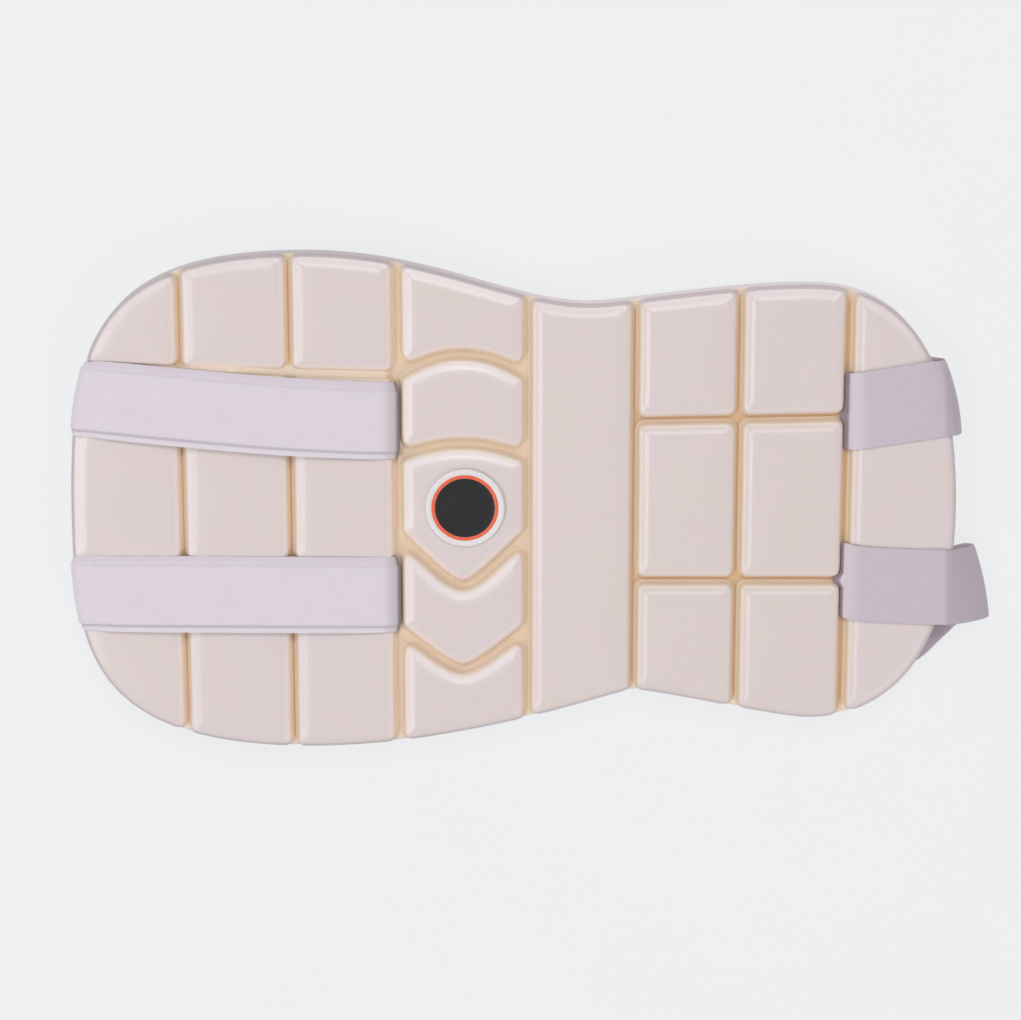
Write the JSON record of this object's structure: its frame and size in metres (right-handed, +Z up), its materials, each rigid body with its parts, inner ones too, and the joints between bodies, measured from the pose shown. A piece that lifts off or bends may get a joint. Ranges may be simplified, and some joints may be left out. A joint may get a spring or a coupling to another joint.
{
  "type": "cricket chest guard",
  "caption": "Padded sports chest guard: pressed foam blocks parted by grooves on a foam backing of waisted outline, with sewn loop-tape bands and elastic straps folded behind it.",
  "frame": {"origin": "on the floor under the middle of the guard's whole box, with the guard lying on its back", "axes": "+X along the pad to its smaller end, +Y to its upper edge, +Z up out of the padded face"},
  "size_m": [0.424, 0.2288, 0.0229],
  "materials": {
    "foam": "satin skin of pressed foam, warm off-white",
    "backing": "matt foam sheet, tan in the grooves",
    "tape": "soft white loop tape with sewn edges",
    "elastic": "ribbed pale grey elastic",
    "badge": "dark moulded rubber, satin"
  },
  "bodies": {
    "root": {"backing": "backing", "block_1_top": "foam", "block_1_middle": "foam", "block_1_bottom": "foam", "block_2_top": "foam", "block_2_middle": "foam", "block_2_bottom": "foam", "block_3_top": "foam", "block_3_middle": "foam", "block_3_bottom": "foam", "crest_block": "foam", "arch_block": "foam", "badge_block": "foam", "chevron_block": "foam", "tail_block": "foam", "waist_block": "foam", "block_6_top": "foam", "block_6_middle": "foam", "block_6_bottom": "foam", "block_7_top": "foam", "block_7_middle": "foam", "block_7_bottom": "foam", "end_block": "foam", "upper_tape": "tape", "lower_tape": "tape", "upper_elastic": "elastic", "lower_elastic": "elastic", "badge": "badge"}
  },
  "joints": []
}
